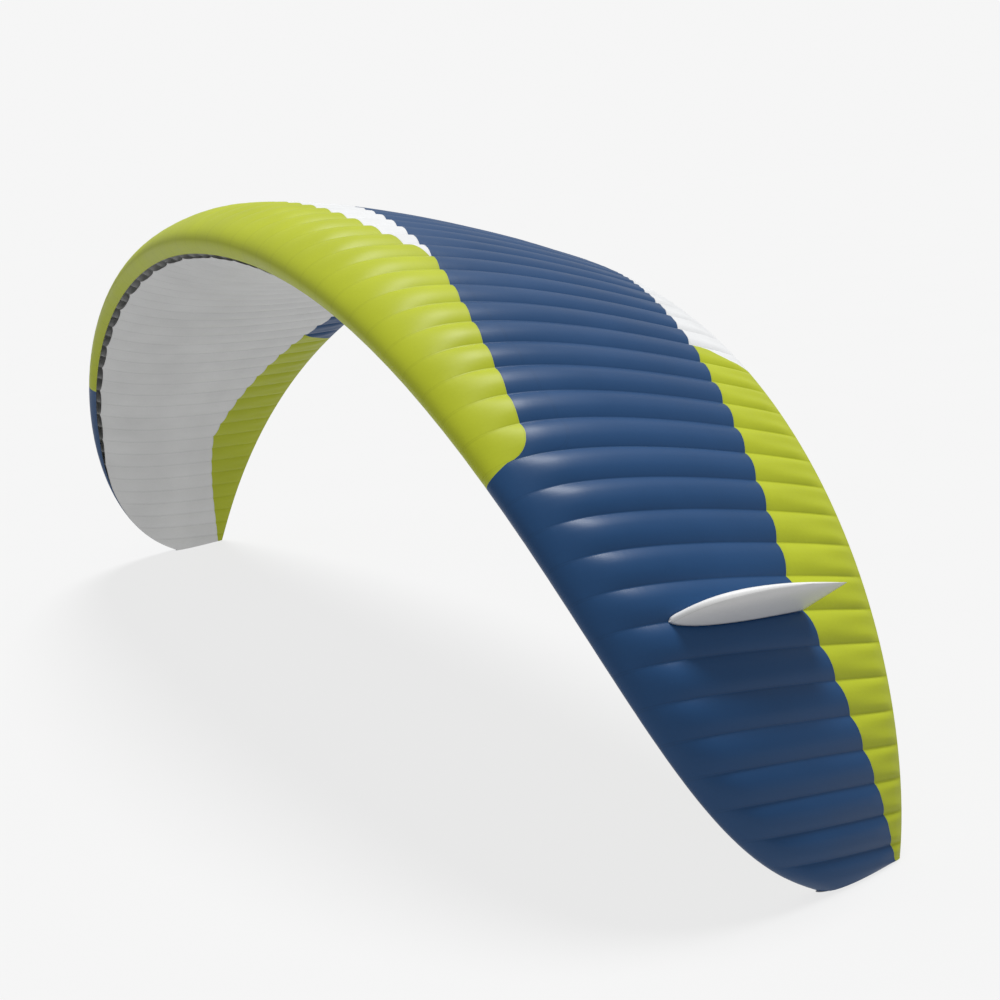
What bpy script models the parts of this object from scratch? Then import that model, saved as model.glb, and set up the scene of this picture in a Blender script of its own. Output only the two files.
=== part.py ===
"""Paraglider wing: a ram-air canopy standing on its two wing tips.

Metres, +Z up. X runs along the span, the leading edge looks to -Y, and the origin is on the ground
under the middle of the wing. Ribs are counted from each wing tip: 0 is the tip rib, and the middle of
the centre cell is at 32.5. Stations along a rib are shares of its chord. A negative station is on the
underside of the nose, where the upper sail wraps round to the air intakes.
"""

import math

import bmesh
import bpy
import numpy as np

# Plan form and arch
HALF_SPAN = 6.2  # along the arch, centre to tip
CELLS = 65
CELL_NARROWING = 0.37  # how much narrower the tip cell is than the centre cell
ARCH_TURN = ((1, 0.848), (3, 0.438), (5, 0.104))  # power of the span share, turn in radians
ROOT_CHORD = 2.606
TIP_SHARE = 0.19  # tip chord over root chord
CHORD_POWER = 1.65
CHORD_ROUNDING = 0.41
NOSE_FOLLOWS_TAPER = 0.94
NOSE_SWEEP = 0.42
NOSE_SWEEP_POWER = 3.2
ARCH_LEAN = 0.32  # how far the tips lie forward for each metre that they hang down
TIP_TWIST = -0.036
TWIST_CENTRE = 0.3
NOSE_UP = math.radians(9.0)
TIP_CUT = -3.195  # level of the ground under the arch's top

# Aerofoil
ROOT_THICKNESS = 0.172
TIP_THICKNESS = 0.146
CAMBER = 0.012
CAMBER_STATION = 0.155
# Half thickness of the profile: factors of the square root and of the first four powers
PROFILE = (0.2969, -0.1260, -0.3516, 0.2843, -0.1036)
PROFILE_SCALE = 5
SLOPE_STEP = 0.0005  # how far apart two stations are when the skin's slope is taken

# Cloth
CLOTH = 0.002
GAP = 0.0003
CROWN = 0.13  # height of an upper cell's crown over its width
NOSE_BULGE_SHARE = 0.15
FULL_BULGE_STATION = 0.15
REAR_BULGE_SHARE = 0.25  # the last part of the chord, where the crowns fade out
RIB_CLEARANCE = (0.04, 8)  # how much smaller the tip rib is cut, and how fast that fades inwards

# Rib numbers where panels meet
CENTRE = CELLS / 2
NOSE_END = 13
CHEVRON_POINT = 22
TAIL_COLOUR_CHANGE = 18
TAIL_KINK = 9
TAIL_END = 26
MOUTH_END = 5
FIRST_OPEN_RIB = 9

# Stations of the seams. A pair is the station at the named rib and its rise for each rib inwards.
NOSE_SEAM_RIB = 14
NOSE_SEAM = (0.124, 0.0190)
NOSE_SEAM_LEAST = 0.075
CENTRE_NOSE_SEAM = 0.222
POINT_NOSE_SEAM = 0.054  # how much further back the seam is at the chevron's point
POINT_FADE = 1.6  # in ribs
CHEVRON_SEAM = (0.280, 0.0125)
FOLD_ROW = (0.004, 0.012)  # a row of folds outside the chevron, behind the lime seam
TAIL_SEAM = (0.681, 0.0178)
TAIL_SEAM_OUTWARDS = (0.0145, 0.00155)  # rise for each rib outwards, and for its square
TAIL_SEAM_MOST = 0.985

# Air intakes, as stations on the underside of the nose
LIP = 0.026
LIP_RIBS = (2, 9)  # the lip comes round the nose between these ribs
LEAST_LIP = 0.1  # share of the lip that stays outside them
MOUTH_DEPTH = 0.0125
MOUTH_ARC = 0.0095
MOUTH_CLOSED = 0.0012

# Rows of folds between the seams, as stations or as shares of the way to the next seam
NOSE_FOLD = 0.018
FRONT_FOLD_SHARE = 0.35
TAIL_FOLD_SHARE = 0.6
LOWER_FOLDS = (0.15, 0.42)

# Winglet
WINGLET_RIB = 8
WINGLET_HEIGHT = 0.303
WINGLET_TAIL = (0.691, 0.722)  # station at the foot and at the tip
WINGLET_THICKNESS = 0.12
WINGLET_CLEARANCE = 0.004
# Columns: share of the height, station of the leading edge
WINGLET_NOSE = (
    (0.00, 0.200),
    (0.28, 0.224),
    (0.50, 0.258),
    (0.68, 0.310),
    (0.82, 0.380),
    (0.94, 0.465),
    (1.00, 0.580),
)
WINGLET_SIDE_STATIONS = (0.0, 0.08, 0.3, 0.65, 1.0)

ROUGHNESS = 0.55
LIME = (0.50, 0.56, 0.07)
BLUE = (0.045, 0.10, 0.22)
WHITE = (0.86, 0.87, 0.88)
GREY_WHITE = (0.66, 0.67, 0.66)


# Shape of the wing ---------------------------------------------------------------------------

STEPS = 400


def arch_table():
    """Span share, turn angle, x and z of the arch line, each against the rib share from the centre."""
    share = np.linspace(0, 1, STEPS + 1)
    width = 1 - CELL_NARROWING * share**3
    span = np.concatenate([[0], np.cumsum((width[1:] + width[:-1]) / 2)])
    span = span / span[-1]
    turn = sum(amount * span**power for power, amount in ARCH_TURN)
    step = np.diff(span) * HALF_SPAN
    middle = (turn[1:] + turn[:-1]) / 2
    x = np.concatenate([[0], np.cumsum(np.cos(middle) * step)])
    z = -np.concatenate([[0], np.cumsum(np.sin(middle) * step)])
    return share, span, turn, x, z


ARCH = arch_table()


def on_arch(share):
    return [np.interp(share, ARCH[0], row) for row in ARCH[1:]]


def chord_at(span):
    edge = TIP_SHARE ** (1 / CHORD_ROUNDING)
    return ROOT_CHORD * (edge + (1 - edge) * (1 - span**CHORD_POWER)) ** CHORD_ROUNDING


def half_thickness(station, thickness):
    root, powers = PROFILE[0], PROFILE[1:]
    form = root * np.sqrt(station) + sum(
        factor * station**power for power, factor in enumerate(powers, 1)
    )
    return PROFILE_SCALE * thickness * form


def aerofoil(station, thickness, upper):
    """Height of the profile over the chord line, as a share of the chord."""
    u = np.abs(station)
    half = half_thickness(u, thickness)
    front = CAMBER / CAMBER_STATION**2 * (2 * CAMBER_STATION * u - u**2)
    rear_scale = CAMBER / (1 - CAMBER_STATION) ** 2
    rear = rear_scale * (1 - 2 * CAMBER_STATION + 2 * CAMBER_STATION * u - u**2)
    line = np.where(u < CAMBER_STATION, front, rear)
    return np.where(upper & (station >= 0), line + half, line - half)


def section_point(share, station, upper):
    """Chordwise and upward place on one rib, from its leading edge's station 0."""
    span, _, _, _ = on_arch(share)
    chord = chord_at(span)
    thickness = ROOT_THICKNESS + (TIP_THICKNESS - ROOT_THICKNESS) * span**2
    along = np.abs(station) * chord
    up = aerofoil(station, thickness, upper) * chord
    twist = TIP_TWIST * span**2
    from_centre = along - TWIST_CENTRE * chord
    turned_along = TWIST_CENTRE * chord + from_centre * np.cos(twist) + up * np.sin(twist)
    turned_up = -from_centre * np.sin(twist) + up * np.cos(twist)
    return turned_along, turned_up


def skin_point(side, share, station, upper, offset):
    """World place of a point of the skin, offset outwards square to the profile."""
    span, turn, x, z = on_arch(share)
    chord = chord_at(span)
    along, up = section_point(share, station, upper)
    ahead = section_point(share, station + SLOPE_STEP, upper)
    behind = section_point(share, station - SLOPE_STEP, upper)
    d_along, d_up = ahead[0] - behind[0], ahead[1] - behind[1]
    length = np.hypot(d_along, d_up)
    facing = np.where(upper, 1.0, -1.0)
    along = along - facing * d_up / length * offset
    up = up + facing * d_along / length * offset
    nose = NOSE_FOLLOWS_TAPER * (ROOT_CHORD - chord)
    nose = nose + NOSE_SWEEP * span**NOSE_SWEEP_POWER + ARCH_LEAN * z
    flat = np.stack([x + up * np.sin(turn), nose + along, z + up * np.cos(turn)], -1)
    return to_world(flat, side)


def to_world(flat, side):
    """Pitches the wing nose up, puts the tips' cut on the ground and picks the half."""
    x, y, z = flat[..., 0], flat[..., 1], flat[..., 2]
    turned_y = y * math.cos(NOSE_UP) + z * math.sin(NOSE_UP)
    turned_z = -y * math.sin(NOSE_UP) + z * math.cos(NOSE_UP) - TIP_CUT
    return np.stack([x * side, turned_y, turned_z], -1)


def cell_width(share):
    mean = 1 - CELL_NARROWING / 4
    return HALF_SPAN / CENTRE * (1 - CELL_NARROWING * share**3) / mean


# Seams, as stations against the rib number ----------------------------------------------------


def nose_seam(rib):
    station, rise = NOSE_SEAM
    outside = np.maximum(station + rise * (rib - NOSE_SEAM_RIB), NOSE_SEAM_LEAST)
    step = POINT_NOSE_SEAM * np.exp(-(rib - CHEVRON_POINT) / POINT_FADE)
    return np.where(rib > CHEVRON_POINT, CENTRE_NOSE_SEAM + step, outside)


def chevron_seam(rib):
    (station, rise), (behind, growth) = CHEVRON_SEAM, FOLD_ROW
    inner = station + rise * (rib - CHEVRON_POINT)
    outer = nose_seam(rib) + behind + growth * (CHEVRON_POINT - rib)
    return np.where(rib >= CHEVRON_POINT, inner, outer)


def tail_seam(rib):
    (station, rise), (slope, curve) = TAIL_SEAM, TAIL_SEAM_OUTWARDS
    out = TAIL_KINK - rib
    outer = station + slope * out + curve * out**2
    return np.minimum(np.where(out <= 0, station - rise * out, outer), TAIL_SEAM_MOST)


def intake_lip(rib):
    start, full = LIP_RIBS
    return LIP * np.clip((rib - start) / (full - start), LEAST_LIP, 1)


def lower_front(rib):
    """The lower sail's front edge: a row of arcs with their points on every second rib."""
    arc = np.where(rib < CENTRE - 0.5, np.abs(rib % 2 - 1), 1.0)
    depth = MOUTH_DEPTH + MOUTH_ARC * np.sqrt(1 - (1 - arc) ** 2)
    opening = np.clip((rib - MOUTH_END) / (FIRST_OPEN_RIB - MOUTH_END), 0.0, 1)
    return intake_lip(rib) + MOUTH_CLOSED + depth * opening


def upper_rows(rib):
    nose, rear, tail = nose_seam(rib), chevron_seam(rib), tail_seam(rib)
    zero = np.zeros_like(rib)
    return np.stack(
        [
            -intake_lip(rib),
            zero,
            zero + NOSE_FOLD,
            NOSE_FOLD + FRONT_FOLD_SHARE * (nose - NOSE_FOLD),
            nose,
            rear,
            (rear + tail) / 2,
            tail,
            tail + TAIL_FOLD_SHARE * (1 - tail),
            zero + 1,
        ],
        -1,
    )


def lower_rows(rib):
    zero = np.zeros_like(rib)
    folds = [zero + station for station in LOWER_FOLDS]
    return np.stack([lower_front(rib), *folds, tail_seam(rib), zero + 1], -1)


NOSE_ROW, CHEVRON_ROW, TAIL_ROW, LAST_ROW = 4, 5, 7, 9
LOWER_TAIL_ROW, LOWER_LAST_ROW = 3, 4


def bulge(share, station):
    """Crown of a cell over its ribs: full behind the nose, none at the trailing edge."""
    u = np.abs(station)
    reached = np.clip(station / FULL_BULGE_STATION, 0, 1)
    front = NOSE_BULGE_SHARE + (1 - NOSE_BULGE_SHARE) * reached
    rear = np.clip((1 - u) / REAR_BULGE_SHARE, 0, 1)
    return CROWN * cell_width(share) * front * rear


# Grids of skin points --------------------------------------------------------------------------
# The upper sail has a column for each rib and one for each cell's crown. The lower sail, which
# bulges little, has a column for each rib.

UPPER_STEPS, LOWER_STEPS = 2, 1


def grid(rows, upper, steps):
    """Profile points, inner face and outer face of one sail, by column and row."""
    place = np.arange(steps * CELLS + 1) / steps
    rib = np.minimum(place, CELLS - place)
    share = 1 - rib / CENTRE
    side = np.where(place < CENTRE, -1.0, 1.0)
    station = rows(rib)
    share, side = share[:, None] + 0 * station, side[:, None] + 0 * station
    crown = bulge(share, station) * (place % 1 > 0)[:, None]
    on_top = np.full(station.shape, upper)
    faces = [
        skin_point(side, share, station, on_top, offset)
        for offset in (0 * crown, GAP + crown, GAP + CLOTH + crown)
    ]
    inboard = skin_point(side, share - 0.5 / CENTRE, station, on_top, 0 * crown)
    cut_tips(faces, inboard)
    return faces


def cut_tips(faces, inboard):
    """Slides the two end columns along the span to the ground, so each tip ends in a flat."""
    for end in (0, -1):
        run = faces[0][end] - inboard[end]
        for points in faces:
            points[end] += run * (-points[end, :, 2] / run[:, 2])[:, None]
            points[end, :, 2] = 0


def column_of(number, side, steps):
    """Column of a rib number on the left (-1) or right (+1) half."""
    return steps * number if side < 0 else steps * (CELLS - number)


UPPER = grid(upper_rows, True, UPPER_STEPS)
LOWER = grid(lower_rows, False, LOWER_STEPS)
EVERYTHING = np.concatenate([face.reshape(-1, 3) for face in UPPER + LOWER])
MIDDLE_Y = (EVERYTHING[:, 1].min() + EVERYTHING[:, 1].max()) / 2


# Building ------------------------------------------------------------------------------------


def make_material(name, colour):
    material = bpy.data.materials.new(name)
    material.use_nodes = True
    shader = material.node_tree.nodes["Principled BSDF"]
    shader.inputs["Base Color"].default_value = (*colour, 1)
    shader.inputs["Roughness"].default_value = ROUGHNESS
    shader.inputs["Metallic"].default_value = 0.0
    return material


def add_object(name, points, faces, colour, collection):
    mesh = bpy.data.meshes.new(name)
    centred = np.array(points) - np.array([0, MIDDLE_Y, 0])
    mesh.from_pydata(centred.tolist(), [], faces)
    shape = bmesh.new()
    shape.from_mesh(mesh)
    bmesh.ops.recalc_face_normals(shape, faces=shape.faces)
    shape.to_mesh(mesh)
    shape.free()
    mesh.materials.append(make_material(name, colour))
    thing = bpy.data.objects.new(name, mesh)
    collection.objects.link(thing)
    return thing


def quads_between(columns, rows):
    return [(c, r) for c in range(*columns) for r in range(*rows)]


def drawn_in(face, quads):
    """Moves each edge point of a panel a gap's width towards the panel's own quads."""
    moved = face.copy()
    around = {}
    for c, r in quads:
        centre = face[c : c + 2, r : r + 2].reshape(4, 3).mean(0)
        for corner in ((c, r), (c + 1, r), (c, r + 1), (c + 1, r + 1)):
            around.setdefault(corner, []).append(centre)
    for (c, r), centres in around.items():
        if len(centres) < 4:
            run = np.mean(centres, axis=0) - face[c, r]
            step = run / np.linalg.norm(run) * GAP
            if c in (0, len(face) - 1):
                step[2] = 0
            moved[c, r] = face[c, r] + step
    return moved


def sheet(name, sail, quads, colour, collection):
    """A panel of cloth over the given quads of a sail's grid, closed at its edges."""
    inner, outer = drawn_in(sail[1], quads), drawn_in(sail[2], quads)
    index, points, faces = {}, [], []

    def point(layer, c, r):
        key = (layer, c, r)
        if key not in index:
            index[key] = len(points)
            points.append((inner, outer)[layer][c, r])
        return index[key]

    edges = {}
    for c, r in quads:
        ring = ((c, r), (c + 1, r), (c + 1, r + 1), (c, r + 1))
        if c % 2:
            ring = ring[1:] + ring[:1]
        for layer in (0, 1):
            a, b, d, e = [point(layer, *corner) for corner in ring]
            faces += [(a, b, d), (a, d, e)]
        for start, end in zip(ring, ring[1:] + ring[:1]):
            key = frozenset((start, end))
            edges[key] = edges.get(key, []) + [(start, end)]
    for uses in edges.values():
        if len(uses) == 1:
            start, end = uses[0]
            faces.append((point(0, *start), point(0, *end), point(1, *end), point(1, *start)))
    return add_object(name, points, faces, colour, collection)


def rib_outline(number, side, away):
    """Profile points: along the top to the intake, then along the underside, moved along the span."""
    top_column, bottom_column = [column_of(number, side, n) for n in (UPPER_STEPS, LOWER_STEPS)]
    outline = []
    for sail, column, rows in (
        (UPPER, top_column, slice(LAST_ROW - 1, None, -1)),
        (LOWER, bottom_column, slice(0, LOWER_LAST_ROW)),
    ):
        here = sail[0][column, rows]
        if away:
            beside = sail[0][column + (1 if away > 0 else -1), rows]
            width = np.linalg.norm(beside.mean(0) - here.mean(0))
            here = here + (beside - here) * abs(away) / width
        outline.append(here)
    outline = np.concatenate(outline)
    most, power = RIB_CLEARANCE
    centre = outline.mean(0)
    return centre + (outline - centre) * (1 - most * (1 - number / CENTRE) ** power)


def rib(name, number, side, reach, collection):
    """A sheet that stands between the sails, cut to their slope on both sides."""
    points = np.concatenate([rib_outline(number, side, away) for away in reach])
    count = len(points) // 2
    faces = [tuple(range(count)), tuple(range(2 * count - 1, count - 1, -1))]
    for k in range(count):
        after = (k + 1) % count
        faces.append((k, after, count + after, count + k))
    return add_object(name, points, faces, GREY_WHITE, collection)


def winglet_ring(side, level, nose):
    """One level of the fin: a rounded profile, from its nose round to its nose again."""
    share = 1 - WINGLET_RIB / CENTRE
    span, turn, _, _ = on_arch(share)
    chord = chord_at(span)
    foot, tip = WINGLET_TAIL
    tail = foot + (tip - foot) * level
    stations = [nose + (tail - nose) * s for s in WINGLET_SIDE_STATIONS]
    thickness = WINGLET_THICKNESS * (tail - nose)
    halves = [half_thickness(s, thickness) * chord for s in WINGLET_SIDE_STATIONS]
    ring = []
    order = list(range(len(stations))) + list(range(len(stations) - 2, 0, -1))
    for n, k in enumerate(order):
        way = 1 if n < len(stations) else -1
        ring.append(winglet_point(side, share, stations[k], way * halves[k], level, turn))
    return ring


def winglet_point(side, share, station, lateral, level, turn):
    """A point beside the winglet's rib; at level 0 it sits on the sail's bulging cloth."""
    reach = lateral / cell_width(share) / CENTRE
    rise = CROWN * abs(lateral) * 2 if level == 0 else 0.0
    clear = GAP + CLOTH + WINGLET_CLEARANCE + rise
    at = share + reach if level == 0 else share
    foot = skin_point(side, np.array(at), np.array(station), np.array(True), clear)
    if level == 0:
        return foot
    across = np.array([math.cos(turn), 0, -math.sin(turn)]) * lateral
    away = np.array([math.sin(turn), 0, math.cos(turn)]) * level * WINGLET_HEIGHT
    shift = to_world(across + away, side) - to_world(np.zeros(3), side)
    return foot + shift


def winglet(name, side, collection):
    rings = [winglet_ring(side, level, nose) for level, nose in WINGLET_NOSE]
    count = len(rings[0])
    half = count // 2
    points = [point for ring in rings for point in ring]
    faces = []
    for level in range(len(rings) - 1):
        for k in range(count):
            after = (k + 1) % count
            a, b = level * count + k, level * count + after
            faces += [(a, b, b + count), (a, b + count, a + count)]
    for base in (0, (len(rings) - 1) * count):
        faces.append((base, base + 1, base + count - 1))
        for k in range(1, half - 1):
            faces.append((base + k, base + k + 1, base + count - k - 1, base + count - k))
        faces.append((base + half - 1, base + half, base + half + 1))
    return add_object(name, points, faces, WHITE, collection)


def build_sails(collection):
    left, right = [column_of(NOSE_END, side, UPPER_STEPS) for side in (-1, 1)]
    point_left, point_right = [column_of(CHEVRON_POINT, side, UPPER_STEPS) for side in (-1, 1)]
    end_left, end_right = [column_of(TAIL_END, side, UPPER_STEPS) for side in (-1, 1)]

    sheet("nose_panel", UPPER, quads_between((left, right), (0, NOSE_ROW)), LIME, collection)
    chevron = quads_between((point_left, point_right), (NOSE_ROW, CHEVRON_ROW))
    sheet("chevron_band", UPPER, chevron, WHITE, collection)
    main = quads_between((left, right), (CHEVRON_ROW, TAIL_ROW))
    main += quads_between((left, point_left), (NOSE_ROW, CHEVRON_ROW))
    main += quads_between((point_right, right), (NOSE_ROW, CHEVRON_ROW))
    main += quads_between((end_left, end_right), (TAIL_ROW, LAST_ROW))
    sheet("main_panel", UPPER, main, BLUE, collection)

    end_left, end_right = [column_of(TAIL_END, side, LOWER_STEPS) for side in (-1, 1)]
    under = quads_between((0, LOWER_STEPS * CELLS), (0, LOWER_TAIL_ROW))
    under += quads_between((end_left, end_right), (LOWER_TAIL_ROW, LOWER_LAST_ROW))
    sheet("lower_panel", LOWER, under, GREY_WHITE, collection)

    for side, word in ((-1, "left"), (1, "right")):
        outer = sorted(column_of(number, side, UPPER_STEPS) for number in (0, NOSE_END))
        outer_quads = quads_between(outer, (0, TAIL_ROW))
        sheet(f"outer_panel_{word}", UPPER, outer_quads, BLUE, collection)
        for name, ends, colour, lower_name, lower_colour in (
            ("tail_lime", (0, TAIL_COLOUR_CHANGE), LIME, "lower_tail_lime", LIME),
            ("tail_white", (TAIL_COLOUR_CHANGE, TAIL_END), WHITE, "lower_tail_blue", BLUE),
        ):
            above = sorted(column_of(number, side, UPPER_STEPS) for number in ends)
            above_quads = quads_between(above, (TAIL_ROW, LAST_ROW))
            sheet(f"{name}_{word}", UPPER, above_quads, colour, collection)
            below = sorted(column_of(number, side, LOWER_STEPS) for number in ends)
            below_quads = quads_between(below, (LOWER_TAIL_ROW, LOWER_LAST_ROW))
            sheet(f"{lower_name}_{word}", LOWER, below_quads, lower_colour, collection)


def build_ribs(collection):
    half = CLOTH / 2
    for side, word in ((-1, "left"), (1, "right")):
        for number in range(1, math.ceil(CENTRE), 2):
            rib(f"rib_{number:02d}_{word}", number, side, (-half, half), collection)
        rib(f"tip_rib_{word}", 0, side, (0, -side * CLOTH), collection)


def main():
    for thing in list(bpy.data.objects):
        bpy.data.objects.remove(thing, do_unlink=True)
    collection = bpy.data.collections.new("paraglider_wing")
    bpy.context.scene.collection.children.link(collection)
    build_sails(collection)
    build_ribs(collection)
    for side, word in ((-1, "left"), (1, "right")):
        winglet(f"winglet_{word}", side, collection)


main()
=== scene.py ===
"""Looks of the paraglider wing: fine sails, ribs and winglets in ripstop cloth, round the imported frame.

Metres, +Z up, X along the span, leading edge to -Y. Ribs are counted from each wing tip: 0 is the tip
rib and 32.5 the middle of the centre cell. Stations along a rib are shares of its chord, negative on
the underside of the nose.
"""

import math

import bpy
import numpy as np
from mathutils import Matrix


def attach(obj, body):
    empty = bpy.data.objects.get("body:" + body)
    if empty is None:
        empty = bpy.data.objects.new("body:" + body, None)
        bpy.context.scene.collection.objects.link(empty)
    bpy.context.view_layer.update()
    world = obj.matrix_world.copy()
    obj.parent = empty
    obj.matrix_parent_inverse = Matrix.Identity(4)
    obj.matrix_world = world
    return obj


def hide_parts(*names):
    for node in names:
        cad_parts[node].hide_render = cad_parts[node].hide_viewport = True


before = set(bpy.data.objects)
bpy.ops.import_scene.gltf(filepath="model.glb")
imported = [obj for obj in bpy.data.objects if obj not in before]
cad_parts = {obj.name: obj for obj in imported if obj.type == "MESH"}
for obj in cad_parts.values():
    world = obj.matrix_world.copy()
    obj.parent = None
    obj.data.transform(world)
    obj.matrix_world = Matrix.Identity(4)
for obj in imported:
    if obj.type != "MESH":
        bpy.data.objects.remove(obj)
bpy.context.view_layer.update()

# Plan form and arch, as in the frame
HALF_SPAN = 6.2
CELLS = 65
CENTRE = CELLS / 2
CELL_NARROWING = 0.37
ARCH_TURN = ((1, 0.848), (3, 0.438), (5, 0.104))  # power of the span share, turn in radians
ROOT_CHORD = 2.606
TIP_SHARE = 0.19
CHORD_POWER = 1.65
CHORD_ROUNDING = 0.41
NOSE_FOLLOWS_TAPER = 0.94
NOSE_SWEEP = 0.42
NOSE_SWEEP_POWER = 3.2
ARCH_LEAN = 0.32
TIP_TWIST = -0.036
TWIST_CENTRE = 0.3
NOSE_UP = math.radians(9.0)
TIP_CUT = -3.195
MIDDLE_Y = 1.28423
STEPS = 400

# Aerofoil
ROOT_THICKNESS = 0.172
TIP_THICKNESS = 0.146
CAMBER = 0.012
CAMBER_STATION = 0.155
PROFILE = (0.2969, -0.1260, -0.3516, 0.2843, -0.1036)
PROFILE_SCALE = 5
SLOPE_STEP = 0.0005

# Seams. NOSE_SEAM, CHEVRON_SEAM and TAIL_SEAM: station at its own rib, and its rise a rib inwards
NOSE_END = 13
CHEVRON_POINT = 22
TAIL_COLOUR_CHANGE = 18
TAIL_KINK = 9
TAIL_END = 26
NOSE_SEAM_RIB = 14
NOSE_SEAM = (0.124, 0.0190)
NOSE_SEAM_LEAST = 0.045
CORNER_LEAN = 0.2  # in ribs
TAIL_CHANGE_SLANT = 0.9  # in ribs, from the tail seam to the trailing edge
CENTRE_NOSE_SEAM = 0.222
POINT_NOSE_SEAM = 0.054
POINT_FADE = 1.6
CHEVRON_SEAM = (0.280, 0.0125)
FOLD_ROW = (0.004, 0.012)  # behind the nose seam outside the chevron: station, and its growth a rib outwards
TAIL_SEAM = (0.681, 0.0178)
TAIL_SEAM_OUTWARDS = (0.0145, 0.00155)  # outside TAIL_KINK: rise for the ribs outwards, and their square
TAIL_SEAM_MOST = 0.985

# Intakes
MOUTH_END = 5
FIRST_OPEN_RIB = 9
LIP = 0.026
LIP_RIBS = (2, 9)
LEAST_LIP = 0.1
MOUTH_DEPTH = 0.0125
MOUTH_ARC = 0.0095
MOUTH_CLOSED = 0.0012

# Winglet
WINGLET_RIB = 8
WINGLET_HEIGHT = 0.303
WINGLET_TAIL = (0.691, 0.722)
WINGLET_THICKNESS = 0.12
WINGLET_CLEARANCE = 0.004
WINGLET_FOLD_GAP = 0.03  # added to from_rib, so the folds at a winglet's edges stay faint
# Columns: share of the height, station of the leading edge
WINGLET_NOSE = (
    (0.00, 0.200),
    (0.28, 0.224),
    (0.50, 0.258),
    (0.68, 0.310),
    (0.82, 0.380),
    (0.94, 0.465),
    (1.00, 0.580),
)

# Cloth
GAP = 0.0003
CLOTH = 0.002  # in the frame
SHOWN_CLOTH = 0.0012
CROWN = 0.13  # an upper cell's crown over its width
LOWER_CROWN = 0.10
NOSE_BULGE = 0.02
BULGE_START = 0.015
FULL_BULGE_STATION = 0.15
REAR_BULGE = 0.06
REAR_BULGE_POWER = 0.6
MINI_RIB_START = 0.78  # station where the half ribs of the trailing edge start
MINI_RIB_RUN = 0.20
MINI_CROWN = 0.75  # a half cell's crown over a whole cell's

# Mesh: columns over half a cell, crowded beside the rib, and rows in each block of a sail
HALF_CELL = (0.0, 0.025, 0.08, 0.17, 0.28, 0.40)
NOSE_ROWS = 26
CHEVRON_ROWS = 6
MAIN_ROWS = 26
TAIL_ROWS = 14
LOWER_FRONT_ROWS = 12
LOWER_ROWS = 22
LOWER_FRONT_END = 0.12
RIB_ROWS = 60
RIB_LAYERS = 4
RIB_INSET = 0.004
# least share of its own flat box that a rib is declared to fill
RIB_LEAST_FILL = 0.31  # least share of its own flat box taken for a rib's area, which is worked out but not used
RIB_FOLD_GAP = 0.02  # added to from_rib, so the folds at a rib's own edges stay faint
WINGLET_LEVELS = 30
LEVEL_CROWDING = 1.5  # over 1 crowds the levels towards a winglet's top
TOP_WIDTH = 0.2  # share of a winglet's width that its rounded top keeps
TOP_ROUNDING = 6
WINGLET_ROUND = 26

# Camera and light, turns in degrees
CAMERA_PLACE = (9.6504, -4.2785, 3.2799)
CAMERA_TURN = (77.894, 6.285, 60.324)
CAMERA_LENS = 51.93
CAMERA_REACH = 1000
AMBIENT = 0.42
BACKDROP = 0.92
FLOOR_GLOW = 0.749  # keeps the floor pale in the wing's shadow
KEY_POWER = 2.4
KEY_WIDTH = 22
KEY_TURN = (-16, -8, 0)
FLOOR_RADIUS = 400
FLOOR_SIDES = 96
FLOOR_TONES = (0.146, 0.154)
FLOOR_MOTTLE = 0.6


# Shape of the wing ---------------------------------------------------------------------------


def arch_table():
    """Span share, turn angle, x and z of the arch line, each against the rib share from the centre."""
    share = np.linspace(0, 1, STEPS + 1)
    width = 1 - CELL_NARROWING * share**3
    span = np.concatenate([[0], np.cumsum((width[1:] + width[:-1]) / 2)])
    span = span / span[-1]
    turn = sum(amount * span**power for power, amount in ARCH_TURN)
    step = np.diff(span) * HALF_SPAN
    middle = (turn[1:] + turn[:-1]) / 2
    x = np.concatenate([[0], np.cumsum(np.cos(middle) * step)])
    z = -np.concatenate([[0], np.cumsum(np.sin(middle) * step)])
    return share, span, turn, x, z


ARCH = arch_table()


def on_arch(share):
    return [np.interp(share, ARCH[0], row) for row in ARCH[1:]]


def chord_at(span):
    edge = TIP_SHARE ** (1 / CHORD_ROUNDING)
    return ROOT_CHORD * (edge + (1 - edge) * (1 - span**CHORD_POWER)) ** CHORD_ROUNDING


def half_thickness(station, thickness):
    root, powers = PROFILE[0], PROFILE[1:]
    form = root * np.sqrt(station) + sum(
        factor * station**power for power, factor in enumerate(powers, 1)
    )
    return PROFILE_SCALE * thickness * form


def aerofoil(station, thickness, upper):
    u = np.abs(station)
    half = half_thickness(u, thickness)
    front = CAMBER / CAMBER_STATION**2 * (2 * CAMBER_STATION * u - u**2)
    rear_scale = CAMBER / (1 - CAMBER_STATION) ** 2
    rear = rear_scale * (1 - 2 * CAMBER_STATION + 2 * CAMBER_STATION * u - u**2)
    line = np.where(u < CAMBER_STATION, front, rear)
    return np.where(upper & (station >= 0), line + half, line - half)


def section_point(share, station, upper):
    span, _, _, _ = on_arch(share)
    chord = chord_at(span)
    thickness = ROOT_THICKNESS + (TIP_THICKNESS - ROOT_THICKNESS) * span**2
    along = np.abs(station) * chord
    up = aerofoil(station, thickness, upper) * chord
    twist = TIP_TWIST * span**2
    from_centre = along - TWIST_CENTRE * chord
    turned_along = TWIST_CENTRE * chord + from_centre * np.cos(twist) + up * np.sin(twist)
    turned_up = -from_centre * np.sin(twist) + up * np.cos(twist)
    return turned_along, turned_up


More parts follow.
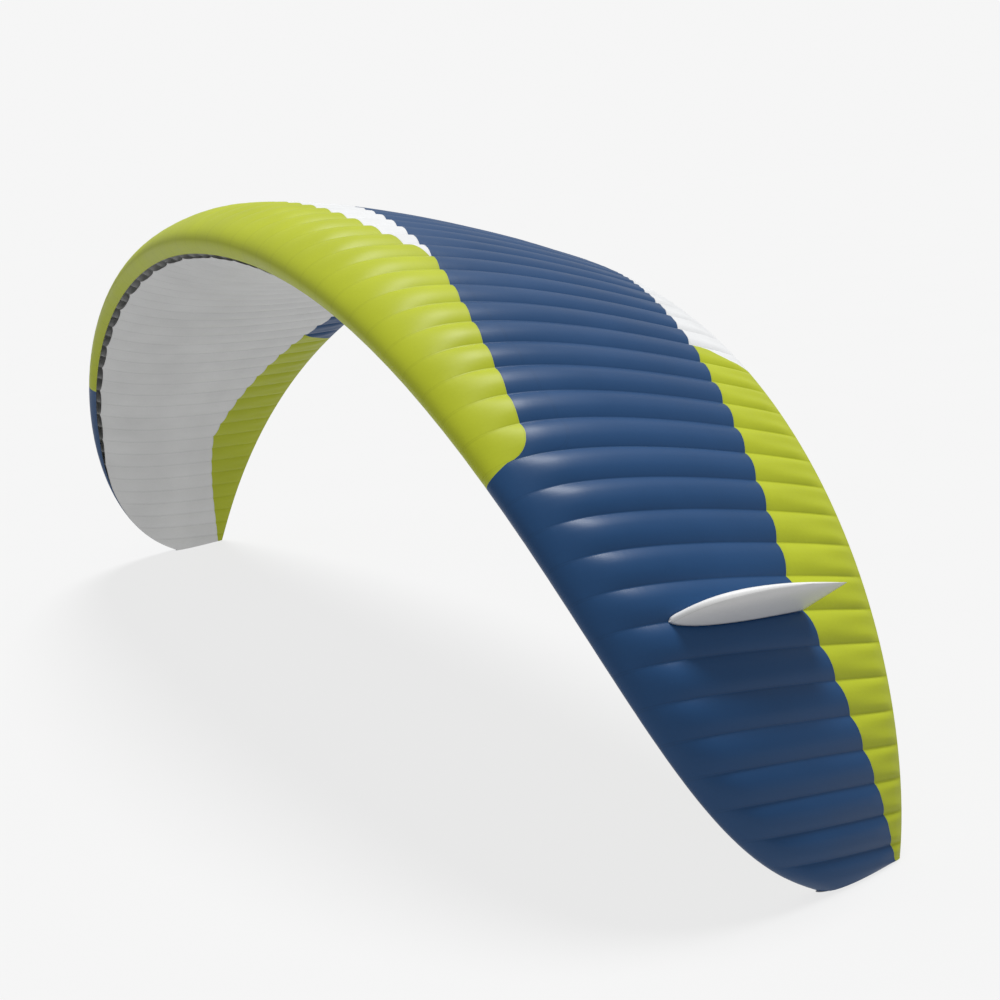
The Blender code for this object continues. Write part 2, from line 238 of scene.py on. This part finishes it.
def skin_point(side, share, station, upper, offset):
    """World place of a point of the skin, offset outwards square to the profile."""
    span, turn, x, z = on_arch(share)
    chord = chord_at(span)
    along, up = section_point(share, station, upper)
    ahead = section_point(share, station + SLOPE_STEP, upper)
    behind = section_point(share, station - SLOPE_STEP, upper)
    d_along, d_up = ahead[0] - behind[0], ahead[1] - behind[1]
    length = np.hypot(d_along, d_up)
    facing = np.where(upper, 1.0, -1.0)
    along = along - facing * d_up / length * offset
    up = up + facing * d_along / length * offset
    nose = NOSE_FOLLOWS_TAPER * (ROOT_CHORD - chord)
    nose = nose + NOSE_SWEEP * span**NOSE_SWEEP_POWER + ARCH_LEAN * z
    flat = np.stack([x + up * np.sin(turn), nose + along, z + up * np.cos(turn)], -1)
    return to_world(flat, side)


def to_world(flat, side):
    x, y, z = flat[..., 0], flat[..., 1], flat[..., 2]
    turned_y = y * math.cos(NOSE_UP) + z * math.sin(NOSE_UP) - MIDDLE_Y
    turned_z = -y * math.sin(NOSE_UP) + z * math.cos(NOSE_UP) - TIP_CUT
    return np.stack([x * side, turned_y, turned_z], -1)


def cell_width(share):
    mean = 1 - CELL_NARROWING / 4
    return HALF_SPAN / CENTRE * (1 - CELL_NARROWING * share**3) / mean


# Seams, as stations against the rib number ----------------------------------------------------


def nose_seam(rib):
    station, rise = NOSE_SEAM
    outside = station + rise * np.maximum(rib - NOSE_SEAM_RIB, 0)
    corner = np.sqrt(1 - np.clip(NOSE_SEAM_RIB - rib, 0, 1) ** 2)
    outside = NOSE_SEAM_LEAST + (outside - NOSE_SEAM_LEAST) * corner
    step = POINT_NOSE_SEAM * np.exp(-(rib - CHEVRON_POINT) / POINT_FADE)
    return np.where(rib > CHEVRON_POINT, CENTRE_NOSE_SEAM + step, outside)


def chevron_seam(rib):
    (station, rise), (behind, growth) = CHEVRON_SEAM, FOLD_ROW
    inner = station + rise * (rib - CHEVRON_POINT)
    outer = nose_seam(rib) + behind + growth * (CHEVRON_POINT - rib)
    return np.where(rib >= CHEVRON_POINT, inner, outer)


def tail_seam(rib):
    (station, rise), (slope, curve) = TAIL_SEAM, TAIL_SEAM_OUTWARDS
    out = TAIL_KINK - rib
    outer = station + slope * out + curve * out**2
    return np.minimum(np.where(out <= 0, station - rise * out, outer), TAIL_SEAM_MOST)


def intake_lip(rib):
    start, full = LIP_RIBS
    return LIP * np.clip((rib - start) / (full - start), LEAST_LIP, 1)


def lower_front(rib):
    """The lower sail's front edge: a row of arcs with their points on every second rib."""
    arc = np.where(rib < CENTRE - 0.5, np.abs(rib % 2 - 1), 1.0)
    depth = MOUTH_DEPTH + MOUTH_ARC * np.sqrt(1 - (1 - arc) ** 2)
    opening = np.clip((rib - MOUTH_END) / (FIRST_OPEN_RIB - MOUTH_END), 0.0, 1)
    return intake_lip(rib) + MOUTH_CLOSED + depth * opening


# Sail grids ----------------------------------------------------------------------------------


def between(start, end, count):
    """Stations evenly from start to end for every column, without the last one."""
    share = np.arange(count) / count
    return start[:, None] + (end - start)[:, None] * share


def upper_stations(rib):
    """Stations by column and row, and the rows where the nose, chevron and tail seams lie."""
    lip, nose = np.sqrt(intake_lip(rib)), np.sqrt(nose_seam(rib))
    root = between(-lip, nose, NOSE_ROWS)
    blocks = [
        np.sign(root) * root**2,
        between(nose_seam(rib), chevron_seam(rib), CHEVRON_ROWS),
        between(chevron_seam(rib), tail_seam(rib), MAIN_ROWS),
        between(tail_seam(rib), np.ones_like(rib), TAIL_ROWS),
        np.ones_like(rib)[:, None],
    ]
    seams = np.cumsum([0, NOSE_ROWS, CHEVRON_ROWS, MAIN_ROWS, TAIL_ROWS])
    return np.concatenate(blocks, 1), seams


def lower_stations(rib):
    front, end = lower_front(rib), np.full_like(rib, LOWER_FRONT_END)
    root = between(np.sqrt(front), np.sqrt(end), LOWER_FRONT_ROWS)
    blocks = [
        root**2,
        between(end, tail_seam(rib), LOWER_ROWS),
        between(tail_seam(rib), np.ones_like(rib), TAIL_ROWS),
        np.ones_like(rib)[:, None],
    ]
    seams = np.cumsum([0, LOWER_FRONT_ROWS, LOWER_ROWS, TAIL_ROWS])
    return np.concatenate(blocks, 1), seams


def smooth(value):
    value = np.clip(value, 0, 1)
    return value * value * (3 - 2 * value)


def billow(place, station, upper):
    """Crown of the cloth over its ribs, in metres, with the half ribs' dips near the trailing edge."""
    across = place % 1
    arc = 1 - (2 * across - 1) ** 2
    half_across = (2 * across) % 1
    half_arc = (1 - (2 * half_across - 1) ** 2) * MINI_CROWN
    split = np.clip((station - MINI_RIB_START) / MINI_RIB_RUN, 0, 1)
    arc = arc + (half_arc - arc) * split
    share = 1 - np.minimum(place, CELLS - place) / CENTRE
    front = NOSE_BULGE + (1 - NOSE_BULGE) * smooth((station - BULGE_START) / FULL_BULGE_STATION)
    rear = np.clip((1 - np.abs(station)) / REAR_BULGE, 0, 1) ** REAR_BULGE_POWER
    most = CROWN if upper else LOWER_CROWN
    return most * cell_width(share) * front * rear * arc


class Sail:
    """Skin points by column and row, with the values that its cloth reads."""

    def __init__(self, stations, upper):
        half = np.array(HALF_CELL)
        cell = np.concatenate([half, 1 - half[:0:-1]])
        self.steps = len(cell)
        place = (np.arange(CELLS)[:, None] + cell).ravel()
        place = np.append(place, CELLS)
        rib = np.minimum(place, CELLS - place)
        self.rib = rib
        self.station, self.seams = stations(rib)
        share = (1 - rib / CENTRE)[:, None] + 0 * self.station
        side = np.where(place < CENTRE, -1.0, 1.0)[:, None] + 0 * self.station
        wide = place[:, None] + 0 * self.station
        on_top = np.full(self.station.shape, upper)
        offset = GAP + CLOTH + billow(wide, self.station, upper)
        self.points = skin_point(side, share, self.station, on_top, offset)
        self.cut_tips(place, side, share, on_top)
        width = cell_width(share)
        span, _, _, _ = on_arch(share)
        chord = chord_at(span)
        fraction = wide % 1
        self.values = {
            "across": span * HALF_SPAN * side,
            "along": self.station * chord,
            "from_rib": np.minimum(fraction, 1 - fraction) * width,
            "rib": rib[:, None] + 0 * self.station,
            "station": self.station,
        }

    def cut_tips(self, place, side, share, on_top):
        """Runs the outer half of each tip cell down to the ground, so each tip ends in a flat."""
        bare = 0 * self.station
        ends = skin_point(side, share, self.station, on_top, bare)
        inboard = skin_point(side, share - 0.5 / CENTRE, self.station, on_top, bare)
        outer = skin_point(side, share, self.station, on_top, bare + GAP + CLOTH)
        for end, distance in ((0, place), (-1, CELLS - place)):
            run = ends[end] - inboard[end]
            slide = run * (-outer[end, :, 2] / run[:, 2])[:, None]
            reach = np.clip(1 - 2 * distance, 0, 1)
            self.points += slide[None] * reach[:, None, None]
            self.points[end, :, 2] = 0

    def column(self, number, side):
        return self.steps * number if side < 0 else self.steps * (CELLS - number)


UPPER = Sail(upper_stations, True)
LOWER = Sail(lower_stations, False)


# Materials -----------------------------------------------------------------------------------


class Graph:
    """Short calls that add shader nodes."""

    def __init__(self, name):
        self.material = bpy.data.materials.new(name)
        self.material.use_nodes = True
        self.nodes = self.material.node_tree.nodes
        self.links = self.material.node_tree.links
        self.shader = self.nodes["Principled BSDF"]

    def put(self, socket, value):
        if isinstance(value, bpy.types.NodeSocket):
            self.links.new(value, socket)
        else:
            socket.default_value = value

    def math(self, operation, *values):
        node = self.nodes.new("ShaderNodeMath")
        node.operation = operation
        for socket, value in zip(node.inputs, values):
            self.put(socket, value)
        return node.outputs[0]

    def attribute(self, name):
        node = self.nodes.new("ShaderNodeAttribute")
        node.attribute_name = name
        return node.outputs["Fac"]

    def place(self, *axes):
        node = self.nodes.new("ShaderNodeCombineXYZ")
        for socket, value in zip(node.inputs, axes):
            self.put(socket, value)
        return node.outputs[0]

    def noise(self, vector, scale, detail=3.0):
        node = self.nodes.new("ShaderNodeTexNoise")
        node.inputs["Scale"].default_value = scale
        node.inputs["Detail"].default_value = detail
        self.put(node.inputs["Vector"], vector)
        return node.outputs["Fac"]

    def object_place(self):
        return self.nodes.new("ShaderNodeTexCoord").outputs["Object"]

    def mix(self, share, first, second, blend="MIX"):
        node = self.nodes.new("ShaderNodeMix")
        node.data_type = "RGBA"
        node.blend_type = blend
        self.put(node.inputs[0], share)
        self.put(node.inputs[6], first)
        self.put(node.inputs[7], second)
        return node.outputs[2]

    def grey(self, level):
        node = self.nodes.new("ShaderNodeCombineColor")
        for socket in node.inputs:
            self.put(socket, level)
        return node.outputs[0]

    def between(self, value, low, high, first, last):
        """Value mapped from low..high to first..last, and held there outside it."""
        node = self.nodes.new("ShaderNodeMapRange")
        for socket, number in zip(node.inputs, (value, low, high, first, last)):
            self.put(socket, number)
        return node.outputs[0]

    def bump(self, height, strength, distance, normal=None):
        node = self.nodes.new("ShaderNodeBump")
        node.inputs["Strength"].default_value = strength
        node.inputs["Distance"].default_value = distance
        self.put(node.inputs["Height"], height)
        if normal is not None:
            self.put(node.inputs["Normal"], normal)
        return node.outputs[0]


# Marks in the cloth, in metres unless they say otherwise
RIPSTOP = 0.006  # pitch of the thick threads
THREAD_SHARE = 0.12  # of the pitch, from a thread's middle to its edge
STITCH = 0.005  # length of a stitch and its gap
STITCH_ENDS = (0.0008, 0.0011)  # where a stitch fades in along its line
STITCH_SIDES = (0.0007, 0.001)  # where it fades out beside its line
SEAM_WIDTH = 0.011
SEAM_FADE = 0.9  # share of the seam's width where its allowance and the painted shade of the rib crease start to fade
PAINT_EDGE = 0.002  # in ribs, each side of a change of colour

# How far each mark darkens the cloth
THREAD_SHADE = 0.95
ALLOWANCE_AND_CREASE_SHADE = 0.975
STITCH_SHADE = 0.8

# Unevenness: noise scale, and what the middle of the noise's range is mapped to
NOISE_RANGE = (0.3, 0.7)
MOTTLE_SCALE = 2.2
MOTTLE_LEVEL = (0.95, 1.04)
FINE_SCALE = 60.0
FINE_LEVEL = (-0.015, 0.015)
ROUGHNESS_RANGE = (-0.04, 0.05)
SHEEN_ROUGHNESS = 0.4

# Folds drawn in beside the ribs: noise scale off the rib and along it, and how far they reach
FOLD_SCALE = (6.0, 34.0)
FOLD_REACH = 0.05
FOLD_BUMP = (0.25, 0.003)  # strength and distance
THREAD_BUMP = (0.25, 0.0002)


def cloth(name, colour, other=None, roughness=0.42, gloss=0.16, sheen=0.02):
    """Coated ripstop: a grid of thick threads, seam allowances darkened partly as double cloth and partly as
    painted shade in the rib creases, stitching and folds beside the ribs.

    The other colour shows where the paint value is over 0.
    """
    g = Graph(name)
    across, along = g.attribute("across"), g.attribute("along")
    from_rib, from_seam = g.attribute("from_rib"), g.attribute("from_seam")
    g.shader.inputs["Sheen Weight"].default_value = sheen
    g.shader.inputs["Sheen Roughness"].default_value = SHEEN_ROUGHNESS
    g.shader.inputs["Specular IOR Level"].default_value = gloss

    def thread(value):
        wave = g.math("PINGPONG", value, RIPSTOP / 2)
        return g.between(wave, 0.0, RIPSTOP * THREAD_SHARE, 1.0, 0.0)

    threads = g.math("MAXIMUM", thread(across), thread(along))
    edge = g.math("MINIMUM", from_rib, from_seam)
    # Darker band along each rib and seam: partly the double cloth of the allowance, partly painted shade in
    # the crease at the rib
    allowance_and_crease_shade = g.between(edge, SEAM_WIDTH * SEAM_FADE, SEAM_WIDTH, 1.0, 0.0)
    run = g.math("PINGPONG", g.math("ADD", across, along), STITCH / 2)
    dash = g.between(run, *STITCH_ENDS, 0.0, 1.0)
    off_line = g.math("ABSOLUTE", g.math("SUBTRACT", edge, SEAM_WIDTH / 2))
    line = g.between(off_line, *STITCH_SIDES, 1.0, 0.0)
    stitches = g.math("MULTIPLY", dash, line)

    mottle = g.noise(g.object_place(), MOTTLE_SCALE)
    fine = g.noise(g.place(across, along, 0.0), FINE_SCALE)
    broad_level = g.between(mottle, *NOISE_RANGE, *MOTTLE_LEVEL)
    fine_level = g.between(fine, *NOISE_RANGE, *FINE_LEVEL)
    level = g.math("ADD", broad_level, fine_level)
    shades = ((threads, THREAD_SHADE), (allowance_and_crease_shade, ALLOWANCE_AND_CREASE_SHADE), (stitches, STITCH_SHADE))
    for mark, shade in shades:
        level = g.math("MULTIPLY", level, g.between(mark, 0.0, 1.0, 1.0, shade))
    base = (*colour, 1.0)
    if other is not None:
        painted = g.between(g.attribute("paint"), -PAINT_EDGE, PAINT_EDGE, 0.0, 1.0)
        base = g.mix(painted, base, (*other, 1.0))
    g.put(g.shader.inputs["Base Color"], g.mix(1.0, base, g.grey(level), "MULTIPLY"))
    smoothest, roughest = (roughness + change for change in ROUGHNESS_RANGE)
    g.put(g.shader.inputs["Roughness"], g.between(mottle, *NOISE_RANGE, smoothest, roughest))

    off_rib = g.math("MULTIPLY", from_rib, FOLD_SCALE[0])
    beside_rib = g.math("MULTIPLY", along, FOLD_SCALE[1])
    fold_noise = g.noise(g.place(off_rib, beside_rib, across), 1.0)
    folds = g.math("MULTIPLY", fold_noise, g.between(from_rib, 0.0, FOLD_REACH, 1.0, 0.0))
    normal = g.bump(folds, *FOLD_BUMP)
    normal = g.bump(g.math("MAXIMUM", threads, stitches), *THREAD_BUMP, normal)
    g.put(g.shader.inputs["Normal"], normal)
    return g.material


LIME = (0.53, 0.60, 0.030)
BLUE = (0.014, 0.070, 0.194)
WHITE = (0.92, 0.93, 0.94)
WINGLET_WHITE = (0.96, 0.96, 0.96)
GREY_WHITE = (0.89, 0.895, 0.89)
# Inner face of the upper sails: a darker neutral grey, painted shade of the wing's inside in place of the
# cloth's own colour
SHADED_INSIDE_GREY = (0.66, 0.67, 0.62)

CLOTHS = {
    "lime": cloth("lime_ripstop", LIME),
    "lime_tail": cloth("lime_tail_ripstop", LIME, WHITE),
    "lime_under": cloth("lime_under_ripstop", LIME, BLUE),
    "blue": cloth("blue_ripstop", BLUE, LIME, roughness=0.38, gloss=0.27),
    "blue_tail": cloth("blue_tail_ripstop", BLUE),
    "white": cloth("white_ripstop", WHITE),
    "under": cloth("under_white_ripstop", GREY_WHITE),
    "rib": cloth("rib_ripstop", GREY_WHITE),
    "winglet": cloth("winglet_ripstop", WINGLET_WHITE),
    "shaded_inside": cloth("shaded_inside_cloth", SHADED_INSIDE_GREY),
}


# Pieces --------------------------------------------------------------------------------------


def mark_open_edges(mesh):
    """Makes a sheet's own edges sharp, so its rim doesn't bend the shading beside it."""
    used = np.zeros(len(mesh.loops), np.int32)
    mesh.loops.foreach_get("edge_index", used)
    open_edges = np.bincount(used, minlength=len(mesh.edges)) == 1
    sharp = mesh.attributes.new("sharp_edge", "BOOLEAN", "EDGE")
    sharp.data.foreach_set("value", open_edges)


def add_piece(name, points, faces, values, cloth_name, nodes):
    mesh = bpy.data.meshes.new(name)
    mesh.from_pydata(points.tolist(), [], faces)
    for key, value in values.items():
        layer = mesh.attributes.new(key, "FLOAT", "POINT")
        layer.data.foreach_set("value", np.asarray(value, np.float32).ravel())
    mesh.materials.append(CLOTHS[cloth_name])
    mesh.shade_smooth()
    mark_open_edges(mesh)
    thing = bpy.data.objects.new(name, mesh)
    bpy.context.scene.collection.objects.link(thing)
    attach(thing, "root")
    if nodes:
        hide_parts(*nodes)
    return thing


def thicken(thing, shaded_inside=True):
    # The inner faces get the grey cloth of painted shade
    if shaded_inside:
        thing.data.materials.append(CLOTHS["shaded_inside"])
    layer = thing.modifiers.new("cloth", "SOLIDIFY")
    layer.thickness = SHOWN_CLOTH
    layer.offset = -1
    layer.use_even_offset = False
    layer.use_rim = True
    if shaded_inside:
        layer.material_offset = 1
        layer.material_offset_rim = 0


def seam_distance(sail, columns, rows):
    """Metres along the cloth from each point of a sail to the nearest edge line of a block of its grid."""
    (first, last), (top, bottom) = columns, rows
    along = sail.values["along"]
    ahead = np.abs(along - along[:, top][:, None])
    behind = np.abs(along - along[:, bottom][:, None])
    across = sail.values["across"]
    left = np.abs(across - across[first][None])
    right = np.abs(across - across[last][None])
    return np.minimum(np.minimum(ahead, behind), np.minimum(left, right))


def columns_between(sail, side, *ribs):
    """The sail's columns at two ribs of one half, from left to right."""
    return sorted(sail.column(number, side) for number in ribs)


def panel(name, sail, blocks, cloth_name, nodes, paint=None, shaded_inside=True, flip=False):
    """One panel of a sail over blocks of its grid; its flat sheet's size is worked out but not used."""
    index = np.full(sail.station.shape, -1)
    nearest = np.full(sail.station.shape, np.inf)
    quads = []
    area = 0.0
    width, length = 0.0, 0.0
    cells_across, along = sail.values["across"], sail.values["along"]
    for (first, last), (top, bottom) in blocks:
        columns = np.arange(first, last + 1)
        rows = np.arange(top, bottom + 1)
        index[np.ix_(columns, rows)] = 0
        c, r = np.meshgrid(columns[:-1], rows[:-1], indexing="ij")
        c, r = c.ravel(), r.ravel()
        quads.append(np.stack([c, r], 1))
        wide = cells_across[c + 1, r] - cells_across[c, r]
        long = along[c, r + 1] - along[c, r] + along[c + 1, r + 1] - along[c + 1, r]
        area += float(np.abs(wide * long / 2).sum())
        distance = seam_distance(sail, (first, last), (top, bottom))
        nearest = np.minimum(nearest, distance)
        width = max(width, float(abs(cells_across[last, top] - cells_across[first, top])))
        reach = along[first : last + 1, bottom] - along[first : last + 1, top]
        length = max(length, float(np.abs(reach).max()))
    used = np.argwhere(index == 0)
    index[tuple(used.T)] = np.arange(len(used))
    faces = []
    for group in quads:
        c, r = group.T
        corners = np.stack([index[c, r], index[c + 1, r], index[c + 1, r + 1], index[c, r + 1]], 1)
        faces.append(corners[:, ::-1] if flip else corners)
    faces = np.concatenate(faces).tolist()
    pick = tuple(used.T)
    values = {key: value[pick] for key, value in sail.values.items()}
    values["from_seam"] = nearest[pick]
    values["paint"] = paint(values["rib"], values["station"]) if paint else np.full(len(used), -1.0)
    thing = add_piece(name, sail.points[pick], faces, values, cloth_name, nodes)
    thicken(thing, shaded_inside)
    if len(blocks) > 1:
        length = float(np.ptp(along[pick]))
    flat = (width, length)
    area = min(area, flat[0] * flat[1])
    return thing


def nose_corner(rib, station):
    """Over 0 where the lime nose's outer edge leans a little past its rib."""
    lean = CORNER_LEAN * np.clip(1 - station / NOSE_SEAM_LEAST, 0, 1)
    return rib - (NOSE_END - lean)


def tail_change(rib, station):
    """Over 0 on the white side of the slanted colour change in the tail."""
    share = (station - tail_seam(rib)) / (1 - tail_seam(rib))
    return rib - (TAIL_COLOUR_CHANGE - TAIL_CHANGE_SLANT * share)


def upper_panels():
    lip, nose, chevron, tail, end = UPPER.seams
    left, right = UPPER.column(NOSE_END, -1), UPPER.column(NOSE_END, 1)
    point_left, point_right = UPPER.column(CHEVRON_POINT, -1), UPPER.column(CHEVRON_POINT, 1)
    end_left, end_right = UPPER.column(TAIL_END, -1), UPPER.column(TAIL_END, 1)
    panel("nose_sail", UPPER, [((left, right), (lip, nose))], "lime", ["nose_panel"])
    chevron_block = ((point_left, point_right), (nose, chevron))
    panel("chevron_sail", UPPER, [chevron_block], "white", ["chevron_band"])
    blocks = [
        ((left, right), (chevron, tail)),
        ((left, point_left), (nose, chevron)),
        ((point_right, right), (nose, chevron)),
        ((end_left, end_right), (tail, end)),
    ]
    panel("main_sail", UPPER, blocks, "blue", ["main_panel"])
    for side, word in ((-1, "left"), (1, "right")):
        outer = [(columns_between(UPPER, side, 0, NOSE_END), (lip, tail))]
        lime = [(columns_between(UPPER, side, 0, TAIL_COLOUR_CHANGE), (tail, end))]
        white = [(columns_between(UPPER, side, TAIL_COLOUR_CHANGE, TAIL_END), (tail, end))]
        panel(f"outer_sail_{word}", UPPER, outer, "blue", [f"outer_panel_{word}"], nose_corner)
        panel(f"tail_lime_sail_{word}", UPPER, lime, "lime_tail", [f"tail_lime_{word}"], tail_change)
        panel(f"tail_white_sail_{word}", UPPER, white, "white", [f"tail_white_{word}"])


def lower_panels():
    front, _, tail, end = LOWER.seams
    end_left, end_right = LOWER.column(TAIL_END, -1), LOWER.column(TAIL_END, 1)
    blocks = [((0, LOWER.column(0, 1)), (front, tail)), ((end_left, end_right), (tail, end))]
    panel("lower_sail", LOWER, blocks, "under", ["lower_panel"], shaded_inside=False, flip=True)
    for side, word in ((-1, "left"), (1, "right")):
        lime = [(columns_between(LOWER, side, 0, TAIL_COLOUR_CHANGE), (tail, end))]
        blue = [(columns_between(LOWER, side, TAIL_COLOUR_CHANGE, TAIL_END), (tail, end))]
        lime_node, blue_node = f"lower_tail_lime_{word}", f"lower_tail_blue_{word}"
        panel(f"lower_lime_sail_{word}", LOWER, lime, "lime_under", [lime_node], tail_change, flip=True)
        panel(f"lower_blue_sail_{word}", LOWER, blue, "blue_tail", [blue_node], flip=True)


def rib_piece(number, side, word):
    """A rib's cloth: a sheet between the sails' lines on that rib, open at the intake."""
    share = 1 - number / CENTRE
    rib = np.array([float(number)])
    lip, front = float(intake_lip(rib)[0]), float(lower_front(rib)[0])
    root = np.linspace(-math.sqrt(lip), 1, RIB_ROWS)
    top = np.sign(root) * root**2
    bottom = front + (1 - front) * np.linspace(0, 1, RIB_ROWS) ** 2
    ones = np.ones(RIB_ROWS)
    inset = -RIB_INSET * np.sqrt(np.linspace(1, 0, RIB_ROWS))
    high = skin_point(side * ones, share * ones, top, ones > 0, inset)
    low = skin_point(side * ones, share * ones, bottom, ones < 0, inset)
    if number == 0:
        high[:, 2] = GAP + SHOWN_CLOTH
        low[:, 2] = GAP + SHOWN_CLOTH
    share_up = np.linspace(0, 1, RIB_LAYERS + 1)[:, None, None]
    points = low[None] * (1 - share_up) + high[None] * share_up
    faces = []
    for layer in range(RIB_LAYERS):
        for k in range(RIB_ROWS - 1):
            a = layer * RIB_ROWS + k
            faces.append((a, a + 1, a + RIB_ROWS + 1, a + RIB_ROWS))
    span, _, _, _ = on_arch(share)
    chord = float(chord_at(span))
    along = np.broadcast_to((top + bottom) / 2 * chord, points.shape[:2])
    height = np.linalg.norm(points - low[None], axis=-1)
    deep = height[-1][None] - height
    values = {
        "across": height,
        "along": along,
        "from_rib": np.minimum(height, deep) + RIB_FOLD_GAP,
        "from_seam": np.minimum(height, deep),
        "paint": np.full(points.shape[:2], -1.0),
    }
    node = f"rib_{number:02d}_{word}" if number else f"tip_rib_{word}"
    nodes = [node] if number == 0 or number % 2 else []
    flat_points = points.reshape(-1, 3)
    thing = add_piece(f"{node}_cloth", flat_points, faces, values, "rib", nodes)
    thicken(thing, shaded_inside=False)
    tall = float(height[-1].max())
    steps = np.linalg.norm(np.diff(points[RIB_LAYERS // 2], axis=0), axis=-1)
    area = float((steps * (height[-1][1:] + height[-1][:-1]) / 2).sum())
    area = min(max(area, RIB_LEAST_FILL * tall * chord), tall * chord)


def smooth_line(points, rounds=3):
    """The line through the points with its corners cut, ends kept."""
    line = np.array(points)
    for _ in range(rounds):
        early = line[:-1] * 0.75 + line[1:] * 0.25
        late = line[:-1] * 0.25 + line[1:] * 0.75
        inner = np.stack([early, late], 1).reshape(-1, 2)
        line = np.concatenate([line[:1], inner, line[-1:]])
    return line


def winglet_piece(side, word):
    """A winglet's closed skin: rings from its foot, which follows the cell's crown, to its rounded top."""
    share = 1 - WINGLET_RIB / CENTRE
    span, turn, _, _ = on_arch(share)
    chord, width = float(chord_at(span)), cell_width(share)
    line = smooth_line(WINGLET_NOSE)
    levels = 1 - (1 - np.linspace(0, 1, WINGLET_LEVELS)) ** LEVEL_CROWDING
    noses = np.interp(levels, line[:, 0], line[:, 1])
    round_share = np.linspace(0, 1, WINGLET_ROUND) ** 2
    order = np.concatenate([round_share, round_share[-2:0:-1]])
    way = np.concatenate([np.ones(WINGLET_ROUND), -np.ones(WINGLET_ROUND - 2)])
    rings, values = [], {"across": [], "along": [], "from_seam": []}
    for level, nose in zip(levels, noses):
        foot, tip = WINGLET_TAIL
        tail = foot + (tip - foot) * level
        station = nose + (tail - nose) * order
        closing = TOP_WIDTH + (1 - TOP_WIDTH) * math.sqrt(1 - level**TOP_ROUNDING)
        lateral = way * half_thickness(order, WINGLET_THICKNESS * (tail - nose)) * chord * closing
        part = np.minimum(np.abs(lateral) / width, 0.5)
        rise = 4 * CROWN * width * part * (1 - part) * (1 - level)
        ones = np.ones_like(station)
        clear = GAP + CLOTH + WINGLET_CLEARANCE + rise
        base = skin_point(side * ones, share * ones, station, ones > 0, clear)
        across = np.array([math.cos(turn), 0, -math.sin(turn)]) * lateral[:, None]
        away = np.array([math.sin(turn), 0, math.cos(turn)]) * level * WINGLET_HEIGHT
        shift = to_world(across + away, side) - to_world(np.zeros(3), side)
        rings.append(base + shift)
        values["across"].append(level * WINGLET_HEIGHT + 0 * lateral)
        values["along"].append(station * chord)
        values["from_seam"].append(np.minimum(order, 1 - order) * (tail - nose) * chord)
    points = np.array(rings)
    count = points.shape[1]
    faces = []
    for level in range(WINGLET_LEVELS - 1):
        for k in range(count):
            after = (k + 1) % count
            a, b = level * count + k, level * count + after
            faces.append((a, b, b + count, a + count))
    half = WINGLET_ROUND - 1
    for base, flip in ((0, True), ((WINGLET_LEVELS - 1) * count, False)):
        strip = [(base, base + 1, base + count - 1)]
        for k in range(1, half - 1):
            strip.append((base + k, base + k + 1, base + count - k - 1, base + count - k))
        strip.append((base + half - 1, base + half, base + half + 1))
        faces += [face[::-1] for face in strip] if flip else strip
    if side < 0:
        faces = [face[::-1] for face in faces]
    values = {key: np.array(value) for key, value in values.items()}
    values["from_rib"] = values["from_seam"] + WINGLET_FOLD_GAP
    values["paint"] = np.full(values["along"].shape, -1.0)
    name, flat_points = f"winglet_{word}", points.reshape(-1, 3)
    thing = add_piece(f"{name}_cloth", flat_points, faces, values, "winglet", [name])


# Stage ---------------------------------------------------------------------------------------


def make_floor():
    bpy.ops.mesh.primitive_circle_add(
        vertices=FLOOR_SIDES, radius=FLOOR_RADIUS, fill_type="NGON", location=(0, 0, 0)
    )
    floor = bpy.context.object
    floor.name = "floor"
    g = Graph("pale_floor")
    mottle = g.noise(g.object_place(), FLOOR_MOTTLE)
    dark, light = ((tone, tone, tone, 1) for tone in FLOOR_TONES)
    g.put(g.shader.inputs["Base Color"], g.mix(mottle, dark, light))
    g.put(g.shader.inputs["Roughness"], 0.9)
    g.put(g.shader.inputs["Specular IOR Level"], 0.0)
    g.put(g.shader.inputs["Emission Color"], (1, 1, 1, 1))
    g.put(g.shader.inputs["Emission Strength"], FLOOR_GLOW)
    floor.data.materials.append(g.material)
    floor.visible_diffuse = False


def make_light():
    world = bpy.data.worlds.new("studio")
    world.use_nodes = True
    nodes, links = world.node_tree.nodes, world.node_tree.links
    soft = nodes["Background"]
    soft.inputs["Color"].default_value = (1, 1, 1, 1)
    soft.inputs["Strength"].default_value = AMBIENT
    backdrop = nodes.new("ShaderNodeBackground")
    backdrop.inputs["Color"].default_value = (1, 1, 1, 1)
    backdrop.inputs["Strength"].default_value = BACKDROP
    seen = nodes.new("ShaderNodeLightPath")
    choice = nodes.new("ShaderNodeMixShader")
    links.new(seen.outputs["Is Camera Ray"], choice.inputs[0])
    links.new(soft.outputs[0], choice.inputs[1])
    links.new(backdrop.outputs[0], choice.inputs[2])
    links.new(choice.outputs[0], nodes["World Output"].inputs["Surface"])
    bpy.context.scene.world = world
    sun = bpy.data.objects.new("key", bpy.data.lights.new("key", "SUN"))
    sun.data.energy = KEY_POWER
    sun.data.angle = math.radians(KEY_WIDTH)
    sun.rotation_euler = [math.radians(angle) for angle in KEY_TURN]
    bpy.context.scene.collection.objects.link(sun)
    bpy.context.scene.view_settings.view_transform = "Standard"


def make_camera():
    camera = bpy.data.objects.new("camera", bpy.data.cameras.new("camera"))
    camera.location = CAMERA_PLACE
    camera.rotation_euler = [math.radians(angle) for angle in CAMERA_TURN]
    camera.data.lens = CAMERA_LENS
    camera.data.clip_end = CAMERA_REACH
    bpy.context.scene.collection.objects.link(camera)
    bpy.context.scene.camera = camera


make_camera()
upper_panels()
lower_panels()
for SIDE, WORD in ((-1, "left"), (1, "right")):
    for NUMBER in range(math.ceil(CENTRE)):
        rib_piece(NUMBER, SIDE, WORD)
    winglet_piece(SIDE, WORD)
make_floor()
make_light()
